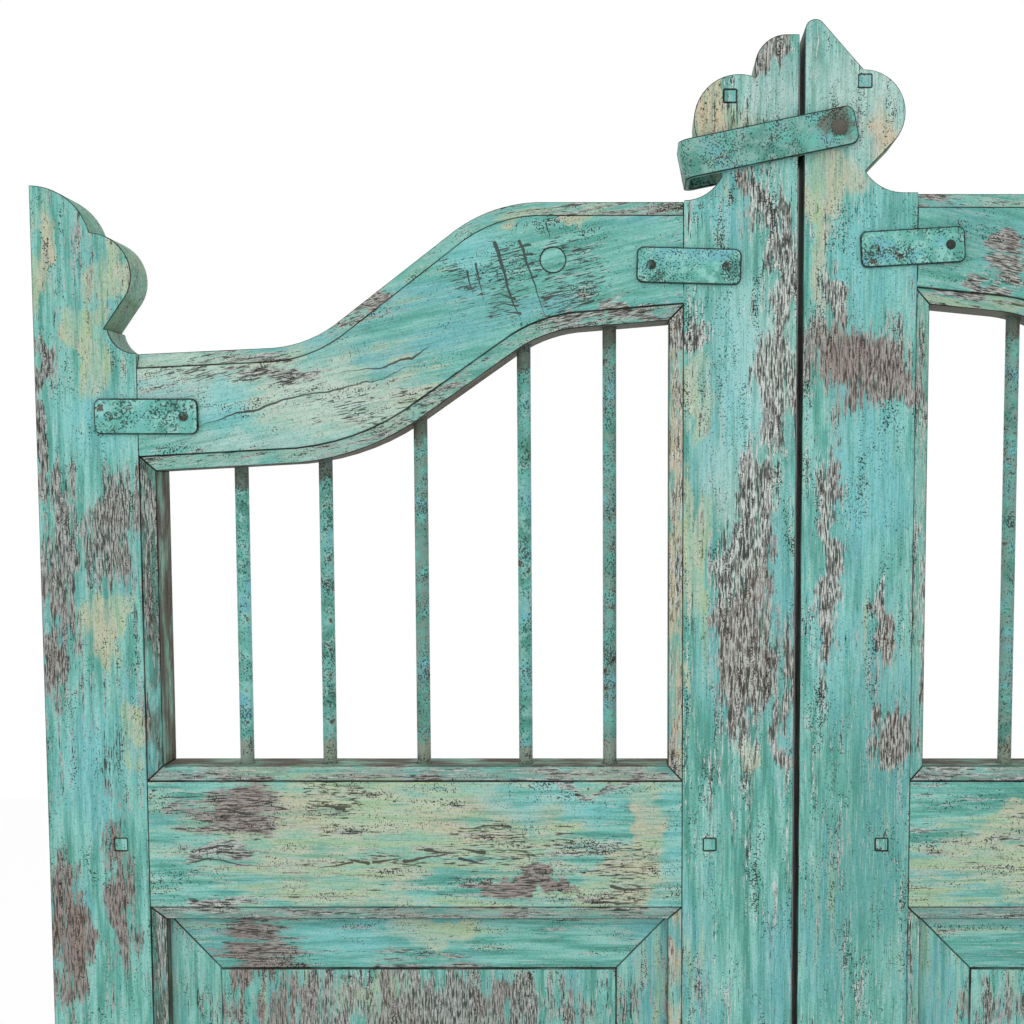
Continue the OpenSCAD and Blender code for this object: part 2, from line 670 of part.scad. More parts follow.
// Throw-over loop, drawn with the pivot at the origin and the closed loop reaching along -x.
pivot_z = outer_top_z + right_rise + pivot_h;
loop_in_y = back_y + loop_gap;
loop_out_y = loop_in_y + loop_t;
loop_tail_share = 0.46;
loop_bend_r = loop_t;
module rounded_bar(x0, x1, half, r) {
    translate([x0, -half + r]) square([x1 - x0, 2 * (half - r)]);
    translate([x0 + r, -half]) square([x1 - x0 - 2 * r, 2 * half]);
    for (x = [x0 + r, x1 - r], y = [-half + r, half - r]) translate([x, y]) circle(r = r, $fn = smooth);
}
module throw_loop() color(worn_paint) translate([pivot_u, 0, pivot_z]) rotate([0, -loop_dip, 0])
difference() {
    tail = loop_w * loop_tail_share;
    end_r = loop_w / 2 * loop_tail_share;
    intersection() {
        rise(-loop_w / 2, loop_w / 2) difference() {
            rounded_bar(-loop_reach, tail + loop_w, loop_out_y, 2 * loop_bend_r);
            rounded_bar(-loop_reach + loop_t, tail + loop_w + over, loop_in_y, loop_bend_r);
        }
        upright(-loop_out_y - over, loop_out_y + over)
            rounded_bar(-loop_reach - loop_w, tail, loop_w / 2, end_r);
    }
    rod_y(0, 0, bolt_d / 2 + pin_run, -loop_out_y - over, loop_out_y + over);
}

bolt_head_share = 0.9;
bolt_head_rise_share = 0.5;
bolt_head_r = bolt_d * bolt_head_share;
bolt_head_h = bolt_d * bolt_head_rise_share;
bolt_end = 1.5;
head_gap = 0.3;
module loop_bolt() color(iron) {
    head_y = -loop_out_y - head_gap;
    dome_r = (bolt_head_r * bolt_head_r + bolt_head_h * bolt_head_h) / (2 * bolt_head_h);
    rod_y(pivot_u, pivot_z, bolt_d / 2, head_y, loop_out_y + head_gap + bolt_head_h + bolt_end);
    translate([pivot_u, head_y, pivot_z]) rotate([90, 0, 0]) intersection() {
        translate([0, 0, bolt_head_h - dome_r]) sphere(r = dome_r, $fn = smooth);
        cylinder(r = bolt_head_r, h = bolt_head_h + over, $fn = smooth);
    }
}
module loop_nut() color(iron) difference() {
    y0 = loop_out_y + head_gap;
    block([pivot_u - bolt_head_r, y0, pivot_z - bolt_head_r],
        [pivot_u + bolt_head_r, y0 + bolt_head_h, pivot_z + bolt_head_r]);
    rod_y(pivot_u, pivot_z, bolt_d / 2 + pin_run, y0 - over, y0 + bolt_head_h + over);
}

left_leaf() outer_stile();  // left_outer_stile
left_leaf() meeting_stile(LEFT);  // left_meeting_stile
left_leaf() top_rail(LEFT);  // left_top_rail
left_leaf() middle_rail(LEFT);  // left_middle_rail
left_leaf() bottom_rail(LEFT);  // left_bottom_rail
left_leaf() panel();  // left_panel
left_leaf() bar(LEFT, 0);  // left_bar_1
left_leaf() bar(LEFT, 1);  // left_bar_2
left_leaf() bar(LEFT, 2);  // left_bar_3
left_leaf() bar(LEFT, 3);  // left_bar_4
left_leaf() bar(LEFT, 4);  // left_bar_5
left_leaf() strap(strap_place_out);  // left_outer_strap
left_leaf() strap(strap_place_in(LEFT));  // left_inner_strap
left_leaf() strap_nails(LEFT);  // left_strap_nails
left_leaf() pegs(LEFT);  // left_pegs
left_leaf() rail_plug();  // left_rail_plug
left_leaf() hinge_plate(upper_hinge_z);  // left_upper_hinge_plate
left_leaf() hinge_plate(lower_hinge_z);  // left_lower_hinge_plate
left_leaf() hinge_screws();  // left_hinge_screws
left_leaf() post_plate(upper_hinge_z);  // left_upper_post_plate
left_leaf() post_plate(lower_hinge_z);  // left_lower_post_plate
left_leaf() hinge_pin(upper_hinge_z);  // left_upper_hinge_pin
left_leaf() hinge_pin(lower_hinge_z);  // left_lower_hinge_pin
right_leaf() outer_stile();  // right_outer_stile
right_leaf() meeting_stile(RIGHT);  // right_meeting_stile
right_leaf() top_rail(RIGHT);  // right_top_rail
right_leaf() middle_rail(RIGHT);  // right_middle_rail
right_leaf() bottom_rail(RIGHT);  // right_bottom_rail
right_leaf() panel();  // right_panel
right_leaf() bar(RIGHT, 0);  // right_bar_1
right_leaf() bar(RIGHT, 1);  // right_bar_2
right_leaf() bar(RIGHT, 2);  // right_bar_3
right_leaf() bar(RIGHT, 3);  // right_bar_4
right_leaf() bar(RIGHT, 4);  // right_bar_5
right_leaf() strap(strap_place_out);  // right_outer_strap
right_leaf() strap(strap_place_in(RIGHT));  // right_inner_strap
right_leaf() strap_nails(RIGHT);  // right_strap_nails
right_leaf() pegs(RIGHT);  // right_pegs
right_leaf() hinge_plate(upper_hinge_z);  // right_upper_hinge_plate
right_leaf() hinge_plate(lower_hinge_z);  // right_lower_hinge_plate
right_leaf() hinge_screws();  // right_hinge_screws
right_leaf() post_plate(upper_hinge_z);  // right_upper_post_plate
right_leaf() post_plate(lower_hinge_z);  // right_lower_post_plate
right_leaf() hinge_pin(upper_hinge_z);  // right_upper_hinge_pin
right_leaf() hinge_pin(lower_hinge_z);  // right_lower_hinge_pin
right_leaf() throw_loop();
right_leaf() loop_bolt();
right_leaf() loop_nut();
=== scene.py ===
"""Looks of a pair of old gate doors: worn turquoise paint on weathered timber, and pitted painted iron."""

import math

import bpy
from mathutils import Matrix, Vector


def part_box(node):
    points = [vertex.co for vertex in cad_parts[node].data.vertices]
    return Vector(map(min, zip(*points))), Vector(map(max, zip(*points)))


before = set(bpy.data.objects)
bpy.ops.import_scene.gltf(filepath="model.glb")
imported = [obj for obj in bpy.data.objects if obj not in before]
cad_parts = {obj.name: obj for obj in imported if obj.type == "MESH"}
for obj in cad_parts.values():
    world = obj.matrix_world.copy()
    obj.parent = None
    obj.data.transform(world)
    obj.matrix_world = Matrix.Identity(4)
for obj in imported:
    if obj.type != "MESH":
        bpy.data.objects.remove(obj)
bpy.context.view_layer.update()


# Outer stiles: the two hinge-side uprights, each sawn from one board with a round finial at its top.
# The grain runs up the board, and the paint is worn through to grey wood in long streaks along it.
class Field:
    """A socket of a material's node tree. Arithmetic on fields adds Math nodes."""

    def __init__(self, socket):
        self.socket = socket

    def add(self, kind, settings, sockets, out=0):
        """Any other node, with its settings and its sockets, as a new field."""
        tree = self.socket.id_data
        made = tree.nodes.new("ShaderNode" + kind)
        for key, value in settings.items():
            setattr(made, key, value)
        for key, value in sockets.items():
            if isinstance(value, Field):
                tree.links.new(value.socket, made.inputs[key])
            else:
                made.inputs[key].default_value = value
        return Field(made.outputs[out])

    def math(self, operation, *values):
        return self.add("Math", {"operation": operation}, dict(enumerate(values)))

    def __add__(self, other):
        return self.math("ADD", self, other)

    __radd__ = __add__

    def __sub__(self, other):
        return self.math("SUBTRACT", self, other)

    def __rsub__(self, other):
        return self.math("SUBTRACT", other, self)

    def __mul__(self, other):
        return self.math("MULTIPLY", self, other)

    __rmul__ = __mul__

    def most(self, other):
        return self.math("MAXIMUM", self, other)

    def least(self, other):
        return self.math("MINIMUM", self, other)

    def step(self, low, high):
        """0 below low, 1 above high, and a soft step between them."""
        ends = {"Value": self, "From Min": low, "From Max": high}
        return self.add("MapRange", {"interpolation_type": "SMOOTHSTEP"}, ends)

    def vector(self, operation, *values, out=0):
        return self.add("VectorMath", {"operation": operation}, dict(enumerate((self, *values))), out)

    def noise(self, scale, detail, roughness=0.5, out=0):
        sockets = {"Vector": self, "Scale": scale, "Detail": detail, "Roughness": roughness}
        return self.add("TexNoise", {}, sockets, out)

    def mix(self, low, high, how="MIX"):
        """The colour low where this field is 0 and high where it is 1."""
        return self.add("Mix", {"data_type": "RGBA", "blend_type": how}, {0: self, 6: low, 7: high}, 2)


def rgb(red, green, blue):
    """A colour given as screen values from 0 to 255, as linear light."""
    def linear(value):
        share = value / 255
        return share / 12.92 if share <= 0.04045 else ((share + 0.055) / 1.055) ** 2.4
    return (linear(red), linear(green), linear(blue), 1)


def new_material(name):
    """An empty material: its shader, and the place and the normal on the piece at rest, in metres."""
    material = bpy.data.materials.new(name)
    material.use_nodes = True
    tree = material.node_tree
    shader = tree.nodes["Principled BSDF"]
    coordinates = tree.nodes.new("ShaderNodeTexCoord")
    return material, shader, Field(coordinates.outputs["Object"]), Field(coordinates.outputs["Normal"])


def connect(field, socket):
    field.socket.id_data.links.new(field.socket, socket)


rim_start = 0.35
rim_end = 1.65


def spots(place, places):
    """1 at the middle of ovals given as (x, z, half width, half height), with a soft rim round each."""
    inside = None
    for x, z, half_w, half_h in places:
        scale = (1 / half_w, 0, 1 / half_h)
        centre = (-x / half_w, 0, -z / half_h)
        reach = place.vector("MULTIPLY_ADD", scale, centre).vector("LENGTH", out=1)
        oval = (rim_end - reach).step(0, rim_end - rim_start)
        inside = oval if inside is None else inside.most(oval)
    return inside


crack_rim = 0.0003
crack_end_share = 0.15


def crack_lines(place, cracks):
    """1 along thin cracks given as (x, z, x, z, half width), which taper towards their second end."""
    lines = None
    for x0, z0, x1, z1, half in cracks:
        run = (x1 - x0, 0, z1 - z0)
        square = run[0] ** 2 + run[2] ** 2
        offset = place.vector("MULTIPLY_ADD", (1, 0, 1), (-x0, 0, -z0))
        share = offset.vector("DOT_PRODUCT", tuple(c / square for c in run), out=1)
        share = share.add("Clamp", {}, {0: share})
        nearest = share.add("VectorMath", {"operation": "SCALE"}, {0: run, "Scale": share})
        away = offset.vector("DISTANCE", nearest, out=1)
        line = (half * (1 + crack_end_share - share) - away).step(-crack_rim, crack_rim)
        lines = line if lines is None else lines.most(line)
    return lines


deep_coat = rgb(78, 146, 132)
main_coat = rgb(104, 177, 166)
light_coat = rgb(142, 200, 191)
blue_coat = rgb(112, 178, 186)
fresh_coat = rgb(126, 200, 204)
mint_coat = rgb(148, 188, 167)
cream_coat = rgb(192, 196, 168)
pale_coat = rgb(186, 212, 204)
ochre_coat = rgb(168, 188, 138)
peach_coat = rgb(204, 184, 154)
dash_wood = rgb(56, 58, 55)
dull_wood = rgb(92, 98, 93)
grey_wood = rgb(142, 144, 140)
pale_wood = rgb(198, 208, 202)
brown_wood = rgb(132, 112, 106)
# an olive green, used as painted shade on side faces
olive_side_shade = rgb(92, 144, 102)
# a dark moss green, used as painted shade on the stiles' undersides
moss_underside_shade = rgb(80, 108, 66)
# a sooty brown for dark dashes and rust, and for painted shade on undersides and reveals
soot_and_shade = rgb(74, 60, 48)
# a near-black for dark specks and arris dirt, and for painted shade on arrises and on the edges that close
# against each other
crevice = rgb(24, 26, 22)
finial_foot = 1.07
wander_x = 0.06
wander_z = 0.09
most_chips = 0.48


def worn_timber(name, rise, seed, bare=(), cream=(), clean=(), pale=(), peach=(), brown=(), deep=(),
                blue=(), flecks=(), cracks=(), bare_level=0.25, cream_level=0.3, silver=0.75, banding=0.85,
                moulding=mint_coat, moulded=0.5, below=soot_and_shade, grime_and_shade=0.3, grimy_and_shaded=(), shut_shade=(), framed=False):
    """Painted timber whose grain rises by an angle, as two finishes: its faces, and its arrises darkened
    by soiling and by painted shade.

    Lists of ovals say where the paint is worn bare or kept clean, where cream, pale, peach, deep or blue
    coats show, where the wood is brown, where flecks gather, where the arrises are more soiled and
    shaded, and where the edges that close against each other take painted shade. The levels and shares
    say how much of that shows elsewhere. Below gives the colour of the painted shade on undersides. A
    framed panel's grain follows its margins."""
    finishes = []
    for arris in (False, True):
        material, shader, place, normal = new_material(name + (" arris" if arris else ""))

        # the grain, which lies level on the margins above and below a framed panel's field
        drawn = place
        if framed:
            crosswise = normal.vector("DOT_PRODUCT", (0, 0, 1), out=1)
            crosswise = (crosswise * crosswise).step(0.002, 0.005)
            axes = [place.add("SeparateXYZ", {}, {0: place}, i) for i in range(3)]
            turned = place.add("CombineXYZ", {}, {0: axes[2], 1: axes[1], 2: axes[0]})
            drawn = place.add("Mix", {"data_type": "VECTOR"}, {0: crosswise, 4: place, 5: turned}, 1)

        def grain(length, across, turn, detail, roughness=0.5):
            """Noise with features about as long along the grain and as wide across it as given."""
            sockets = {"Vector": drawn, "Location": (0.37 * turn, 0.53 * seed, 0.29 * turn),
                       "Rotation": (0, -rise, 0), "Scale": (length, across, across)}
            return place.add("Mapping", {"vector_type": "TEXTURE"}, sockets).noise(1, detail, roughness)

        lines = grain(length=0.024, across=0.0011, turn=1, detail=3, roughness=0.65)
        ticks = grain(length=0.009, across=0.0011, turn=6, detail=3, roughness=0.6)
        streak = grain(length=0.07, across=0.0045, turn=2, detail=3, roughness=0.6)
        patch = grain(length=0.05, across=0.012, turn=3, detail=3, roughness=0.6)
        drift = grain(length=0.13, across=0.04, turn=4, detail=2)
        wash = grain(length=0.10, across=0.007, turn=5, detail=2)
        grit = place.noise(scale=800, detail=1)

        # a wandering place, so that the ovals get ragged outlines
        cloud = place.noise(scale=22, detail=3, out=1)
        wander = cloud.vector("MULTIPLY_ADD", (wander_x, 0, wander_z), (-wander_x / 2, 0, -wander_z / 2))
        about = wander.vector("ADD", place)

        # which way the surface looks: mouldings, side faces, the reveals of the openings, and undersides,
        # the last three of which get painted shade
        facing = normal.vector("DOT_PRODUCT", (0, 1, 0), out=1)
        sloped = (1 - facing * facing).step(0.06, 0.12)
        side = (1 - facing * facing).step(0.5, 0.8)
        inner = side * (finial_foot - place.add("SeparateXYZ", {}, {0: place}, 2)).step(0, 0.02)
        underside_shade = normal.vector("DOT_PRODUCT", (0, 0, -1), out=1).step(0.4, 0.8)

        # how far the paint is worn through, and the dark dashes and cracks in it
        wear = bare_level + 0.8 * (patch - 0.5) + 1.5 * (streak - 0.5) + 0.18 * sloped
        if bare:
            wear = wear + 0.56 * spots(about, bare)
        if clean:
            wear = wear - 0.3 * spots(about, clean)
        bared = (wear + 1.3 * (lines - 0.5) + 1.2 * (ticks - 0.5)).step(0.45, 0.63)
        chips = 0.34 + 0.15 * wear.step(0.1, 0.7)
        if flecks:
            chips = chips + 0.16 * spots(about, flecks)
        dashes = (chips.least(most_chips) - 0.4 * lines - 0.6 * ticks).step(-0.01, 0.03)
        if cracks:
            bent = wander.vector("MULTIPLY_ADD", (0.18, 0, 0.18), place)
            dashes = dashes.most(crack_lines(bent, cracks))

        # the turquoise coat, with the older coats that show through it
        old = cream_level + 0.6 * (drift - 0.5) + 0.5 * (patch - 0.5) + 0.8 * (wash - 0.5)
        if cream:
            old = old + 0.58 * spots(about, cream)
        creamed = old.step(0.38, 0.72)

        coat = (banding * wash.step(0.42, 0.62)).mix(main_coat, light_coat)
        coat = (banding * (1 - wash).step(0.5, 0.66)).mix(coat, deep_coat)
        coat = (drift.step(0.5, 0.64) * 0.6).mix(coat, blue_coat)
        older = patch.step(0.38, 0.56).mix(mint_coat, cream_coat)
        older = (wash.step(0.48, 0.62) * 0.7).mix(older, ochre_coat)
        older = ((1 - drift).step(0.5, 0.62) * 0.6).mix(older, peach_coat)
        coat = (creamed * 0.85).mix(coat, older)
        if pale:
            coat = (spots(about, pale) * (0.3 + 0.8 * wash)).mix(coat, pale_coat)
        if peach:
            coat = (spots(about, peach) * (0.4 + 0.8 * patch)).mix(coat, peach_coat)
        if deep:
            coat = (spots(about, deep) * 0.5).mix(coat, deep_coat)
        if blue:
            coat = (spots(about, blue) * (0.25 + 0.6 * patch)).mix(coat, fresh_coat)
        coat = ((sloped - side) * patch.step(0.35, 0.55) * moulded).mix(coat, moulding)
        # painted shade: side faces are darkened towards olive
        coat = (side * 0.6).mix(coat, olive_side_shade)
        coat = ((1 - streak).step(0.5, 0.66) * (0.6 * banding)).mix(coat, deep_coat)
        coat = ((1 - lines).step(0.52, 0.66) * 0.4).mix(coat, deep_coat)
        coat = (lines.step(0.53, 0.68) * 0.4).mix(coat, pale_coat)

        # the weathered wood where the paint is gone, the dirt on both, and painted shade on undersides,
        # reveals, the edges that close against each other and the arrises
        wood = lines.step(0.42, 0.58).mix(dull_wood, grey_wood)
        wood = (ticks.step(0.5, 0.58) * silver).mix(wood, pale_wood)
        wood = (drift.step(0.5, 0.62) * 0.3).mix(wood, brown_wood)
        if brown:
            wood = (spots(about, brown) * 0.6).mix(wood, brown_wood)
        colour = bared.mix(coat, wood)
        colour = (dashes * 0.9).mix(colour, (drift.step(0.5, 0.62) * 0.6).mix(dash_wood, soot_and_shade))
        # painted shade: faces that look down are darkened towards the colour given as below
        colour = (underside_shade * 0.85).mix(colour, below)
        # painted shade: side faces below the finials' feet, among them the reveals of the openings, are
        # darkened in patches
        colour = (inner * patch.step(0.3, 0.6) * 0.9).mix(colour, soot_and_shade)
        # painted shade: side faces inside the listed ovals, the edges that close against each other, are
        # darkened as the gap between them
        if shut_shade:
            colour = (side * spots(place, shut_shade) * (0.4 + 0.6 * patch)).mix(colour, crevice)
        colour = (grit.step(0.5, 0.7) * 0.3).mix(colour, dash_wood)
        colour = ((grit + 0.9 * (patch - 0.5)).step(0.69, 0.75) * 0.85).mix(colour, crevice)
        # painted shade and dirt: the arris strips of eased edges and joints are darkened, more inside the
        # listed ovals
        if arris:
            dirt_and_shade = grime_and_shade + patch
            if grimy_and_shaded:
                dirt_and_shade = dirt_and_shade + 0.7 * spots(place, grimy_and_shaded)
            colour = dirt_and_shade.step(0.1, 1.05).mix(colour, crevice)
        connect(colour, shader.inputs["Base Color"])
        connect(0.62 + 0.25 * bared, shader.inputs["Roughness"])
        shader.inputs["Specular IOR Level"].default_value = 0.2
        relief = {"Strength": 0.5, "Distance": 0.001, "Height": lines + 0.4 * ticks}
        connect(place.add("Bump", {}, relief), shader.inputs["Normal"])
        finishes.append(material)
    return finishes


flat_within = math.radians(0.5)


def dress(node, finishes, arris=0.0008, fold=20, weld=0.00002):
    """Gives a node its finishes, the first on its faces and the second on its edges, eased by arris.

    Edges that turn by less than fold, in degrees, stay as they are."""
    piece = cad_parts[node]
    piece.data.materials.clear()
    for finish in finishes:
        piece.data.materials.append(finish)
    joined = piece.modifiers.new("joined faces", "WELD")
    joined.merge_threshold = weld
    flat = piece.modifiers.new("flat faces", "DECIMATE")
    flat.decimate_type = "DISSOLVE"
    flat.angle_limit = flat_within
    ease = piece.modifiers.new("eased edges", "BEVEL")
    ease.width = arris
    ease.segments = 2
    ease.use_clamp_overlap = False
    ease.miter_outer = "MITER_ARC"
    ease.limit_method = "ANGLE"
    ease.angle_limit = math.radians(fold)
    ease.harden_normals = True
    ease.material = 1


upright = math.radians(90)
dress("left_outer_stile", worn_timber(
    "left outer stile paint", upright, 1,
    bare=[(-0.661, 0.878, 0.019, 0.072), (-0.612, 0.909, 0.025, 0.042), (-0.676, 0.779, 0.009, 0.027),
          (-0.668, 0.540, 0.016, 0.078), (-0.620, 0.590, 0.013, 0.078), (-0.676, 1.017, 0.008, 0.066),
          (-0.650, 0.190, 0.020, 0.120)],
    cream=[(-0.675, 1.158, 0.009, 0.048), (-0.614, 1.136, 0.016, 0.026), (-0.637, 1.066, 0.012, 0.035),
           (-0.621, 0.820, 0.018, 0.032), (-0.599, 0.727, 0.010, 0.024)],
    clean=[(-0.630, 0.991, 0.030, 0.031), (-0.636, 0.623, 0.036, 0.037)],
    blue=[(-0.634, 1.004, 0.030, 0.036), (-0.640, 0.690, 0.030, 0.060)],
    flecks=[(-0.616, 0.704, 0.005, 0.022)],
    brown=[(-0.668, 0.540, 0.020, 0.090), (-0.620, 0.590, 0.016, 0.090)],
    silver=0.55, moulding=soot_and_shade, moulded=0.8, below=moss_underside_shade))
dress("right_outer_stile", worn_timber(
    "right outer stile paint", upright, 2,
    bare=[(0.660, 0.80, 0.02, 0.09), (0.620, 0.55, 0.016, 0.08), (0.67, 0.2, 0.02, 0.07)],
    cream=[(0.640, 1.12, 0.03, 0.03)],
    clean=[(0.635, 1.005, 0.05, 0.035)],
    moulding=soot_and_shade, moulded=0.8, below=moss_underside_shade))


# Meeting stiles: the two uprights that close against each other, each with a lobed finial.
# They are handled most, so more of the paint is gone, down to silvery wood with older coats beside it.
# The two edges that close against each other are darkened with painted shade, the shade of the narrow gap
# between them.
meeting_edge_shade = [(0, 0.66, 0.005, 2)]
dress("left_meeting_stile", worn_timber(
    "left meeting stile paint", upright, 3,
    bare=[(-0.039, 0.833, 0.018, 0.120), (-0.060, 0.797, 0.015, 0.085), (-0.036, 0.938, 0.014, 0.048),
          (-0.043, 1.185, 0.010, 0.034), (-0.014, 1.145, 0.013, 0.062), (-0.096, 1.077, 0.018, 0.011),
          (-0.019, 1.035, 0.017, 0.049), (-0.026, 1.330, 0.024, 0.012), (-0.008, 0.753, 0.008, 0.057),
          (-0.060, 0.250, 0.030, 0.100)],
    cream=[(-0.109, 0.869, 0.005, 0.117), (-0.092, 0.883, 0.011, 0.050), (-0.037, 0.709, 0.011, 0.012),
           (-0.084, 1.272, 0.014, 0.036), (-0.058, 1.262, 0.020, 0.024), (-0.094, 1.026, 0.009, 0.040)],
    clean=[(-0.065, 1.070, 0.017, 0.084)],
    blue=[(-0.060, 1.041, 0.029, 0.082), (-0.074, 1.180, 0.024, 0.022)],
    pale=[(-0.040, 1.050, 0.040, 0.060), (-0.060, 0.950, 0.030, 0.040), (-0.030, 1.290, 0.030, 0.040)],
    peach=[(-0.083, 1.268, 0.012, 0.026)],
    flecks=[(-0.060, 1.275, 0.018, 0.028)],
    silver=1.0, moulding=peach_coat, moulded=0.9, below=moss_underside_shade, shut_shade=meeting_edge_shade))
dress("right_meeting_stile", worn_timber(
    "right meeting stile paint", upright, 4,
    bare=[(0.054, 1.056, 0.052, 0.040), (0.070, 1.048, 0.036, 0.032), (0.030, 0.890, 0.011, 0.096),
          (0.082, 0.821, 0.007, 0.042), (0.088, 0.720, 0.017, 0.023), (0.035, 1.119, 0.009, 0.026),
          (0.055, 0.220, 0.030, 0.090)],
    cream=[(0.026, 1.215, 0.028, 0.021), (0.073, 1.241, 0.017, 0.020), (0.048, 1.046, 0.007, 0.010),
           (0.021, 1.153, 0.009, 0.044)],
    clean=[(0.075, 1.149, 0.024, 0.039), (0.075, 0.946, 0.030, 0.067)],
    blue=[(0.062, 1.145, 0.037, 0.061), (0.062, 0.950, 0.035, 0.071), (0.034, 0.815, 0.023, 0.064)],
    pale=[(0.055, 1.285, 0.050, 0.055), (0.048, 1.046, 0.008, 0.011)],
    peach=[(0.070, 1.244, 0.014, 0.015)],
    brown=[(0.054, 1.056, 0.060, 0.045)],
    deep=[(0.059, 0.608, 0.045, 0.140), (0.059, 0.330, 0.045, 0.180)],
    silver=0.95, below=moss_underside_shade, shut_shade=meeting_edge_shade))


# Bottom rails: the wide boards at the foot of each leaf, tenoned and pegged into the stiles.
# Rain splash and boots have taken most of their paint low down.
level = 0
for side, mirror in (("left", -1), ("right", 1)):
    dress(f"{side}_bottom_rail", worn_timber(
        f"{side} bottom rail paint", level, 6 + mirror,
        bare=[(mirror * 0.30, 0.02, 0.22, 0.03), (mirror * 0.45, 0.09, 0.06, 0.02)],
        cream=[(mirror * 0.22, 0.10, 0.07, 0.03)]))


# Panels: one raised and fielded board to each leaf, loose in the grooves so that it can swell.
# The flat field has weathered dark, and the sloping margins keep their turquoise.
margin_fold = 6
for side, mirror in (("left", -1), ("right", 1)):
    dress(f"{side}_panel", worn_timber(
        f"{side} panel paint", upright, 11 + mirror,
        bare=[(mirror * 0.500, 0.522, 0.034, 0.028), (mirror * 0.345, 0.464, 0.165, 0.030),
              (mirror * 0.450, 0.420, 0.045, 0.055), (mirror * 0.285, 0.390, 0.050, 0.080),
              (mirror * 0.370, 0.330, 0.028, 0.090), (mirror * 0.455, 0.240, 0.030, 0.070),
              (mirror * 0.240, 0.235, 0.022, 0.050)],
        cream=[(mirror * 0.344, 0.530, 0.033, 0.015), (mirror * 0.386, 0.467, 0.042, 0.017)],
        clean=[(mirror * 0.386, 0.467, 0.042, 0.017)],
        blue=[(mirror * 0.416, 0.526, 0.071, 0.017)],
        brown=[(mirror * 0.500, 0.500, 0.050, 0.050)],
        cream_level=0.36, silver=0.6, framed=True), fold=margin_fold)


# Middle rails: the lock rails between panel and bars, moulded on both long edges and pegged at both ends.
# Hands and weather have worn their faces to cream and grey in level streaks.
dress("left_middle_rail", worn_timber(
    "left middle rail paint", level, 15,
    bare=[(-0.512, 0.653, 0.039, 0.020), (-0.250, 0.585, 0.054, 0.007), (-0.177, 0.671, 0.040, 0.005),
          (-0.530, 0.612, 0.040, 0.010), (-0.532, 0.567, 0.032, 0.006)],
    cream=[(-0.417, 0.628, 0.081, 0.042), (-0.158, 0.580, 0.035, 0.020), (-0.133, 0.618, 0.011, 0.056),
           (-0.276, 0.632, 0.060, 0.028)],
    clean=[(-0.269, 0.656, 0.126, 0.017), (-0.110, 0.619, 0.011, 0.057), (-0.577, 0.618, 0.011, 0.056)],
    blue=[(-0.222, 0.658, 0.080, 0.015), (-0.108, 0.619, 0.012, 0.060)],
    flecks=[(-0.388, 0.602, 0.055, 0.004), (-0.285, 0.608, 0.052, 0.008), (-0.257, 0.620, 0.050, 0.016),
            (-0.151, 0.589, 0.028, 0.029), (-0.416, 0.659, 0.027, 0.010)],
    brown=[(-0.250, 0.585, 0.060, 0.012), (-0.512, 0.653, 0.045, 0.025)],
    cracks=[(-0.392, 0.600, -0.409, 0.603, 0.0014), (-0.387, 0.601, -0.364, 0.604, 0.0012),
            (-0.358, 0.603, -0.321, 0.609, 0.0014), (-0.339, 0.613, -0.306, 0.610, 0.0013),
            (-0.286, 0.610, -0.310, 0.613, 0.0015), (-0.408, 0.601, -0.438, 0.597, 0.0010),
            (-0.261, 0.635, -0.306, 0.632, 0.0011), (-0.413, 0.653, -0.443, 0.657, 0.0013),
            (-0.308, 0.604, -0.281, 0.599, 0.0012), (-0.552, 0.603, -0.480, 0.598, 0.0009),
            (-0.169, 0.579, -0.123, 0.575, 0.0011), (-0.186, 0.568, -0.140, 0.565, 0.0012)],
    cream_level=0.5, moulding=grey_wood, moulded=0.7))
dress("right_middle_rail", worn_timber(
    "right middle rail paint", level, 16,
    bare=[(0.30, 0.62, 0.09, 0.012), (0.50, 0.60, 0.06, 0.02)],
    cream=[(0.22, 0.62, 0.06, 0.03), (0.43, 0.64, 0.07, 0.02)],
    cream_level=0.46, moulding=grey_wood, moulded=0.7))


# Bars: five round iron rods to each leaf, set in sockets in the rails above and below.
# They carry the same turquoise paint, pitted by rust, brown at the heads and grey with dust at the feet.
rust = rgb(96, 72, 54)
pit_colour = rgb(38, 46, 42)
dust = rgb(146, 148, 132)
dull_coat = rgb(104, 116, 104)


